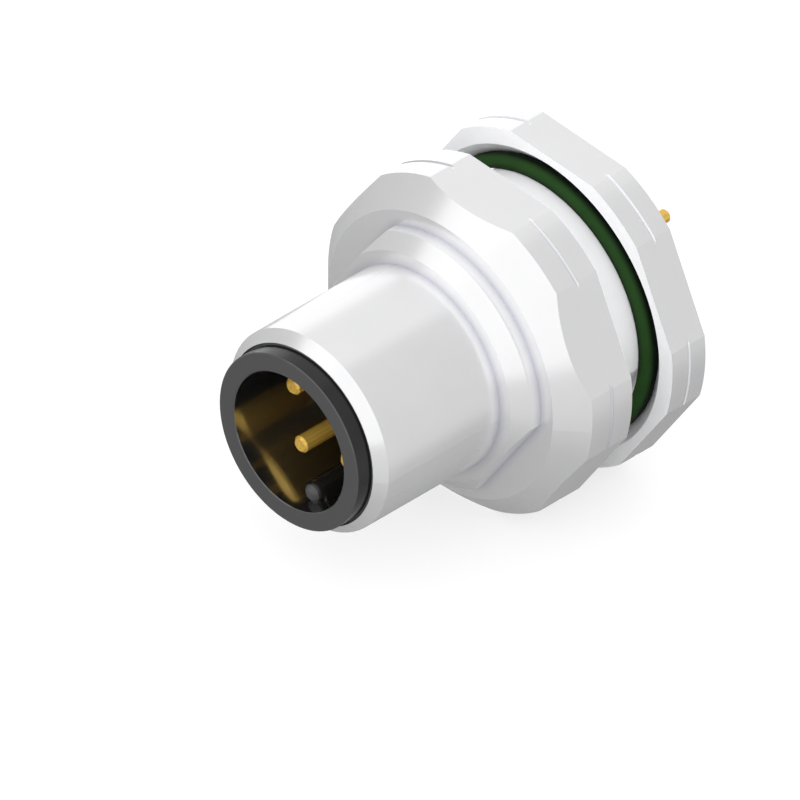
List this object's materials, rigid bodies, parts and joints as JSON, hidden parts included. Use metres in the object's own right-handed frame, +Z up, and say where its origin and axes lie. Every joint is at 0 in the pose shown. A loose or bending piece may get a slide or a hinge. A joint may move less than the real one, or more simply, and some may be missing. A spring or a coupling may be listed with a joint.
{
  "type": "male m12 panel connector",
  "caption": "Panel-mount male circular connector with a coded contact cavity, a hexagon collar, a lock nut with a sealing ring, and solder tails.",
  "frame": {"origin": "on the connector's axis, in the plane of the hexagon's rear face that seats on the panel", "axes": "+Y along the axis towards the solder tails, -Y towards the mating face, +Z up from the lowest flats of the two hexagons"},
  "size_m": [0.02, 0.0272, 0.019],
  "materials": {
    "nickel": "satin",
    "insert_black": "satin",
    "contact_gold": "polished",
    "seal_black": "matte",
    "retainer_brass": "satin",
    "seal_green": "satin"
  },
  "bodies": {
    "housing": {"shell": "nickel", "contact_carrier": "insert_black", "contact_pin_1": "contact_gold", "contact_pin_2": "contact_gold", "contact_pin_3": "contact_gold", "contact_pin_4": "contact_gold", "carrier_seal": "seal_black", "retaining_ring": "retainer_brass"},
    "seal": {"sealing_ring": "seal_green"},
    "nut": {"lock_nut": "nickel"}
  },
  "joints": [
    {"name": "nut_travel", "type": "slide", "parent": "housing", "child": "seal", "axis": [0, 1, 0], "range_m": [-0.00275, 0.00212]},
    {"name": "nut_turn", "type": "hinge", "parent": "seal", "child": "nut", "pos_m": [0, 0.0043, 0], "axis": [0, 1, 0], "range_deg": [-702, 540]}
  ],
  "couplings": [
    {"joint": "nut_travel", "follows": "nut_turn", "m_per_rad": 0.00022458}
  ]
}
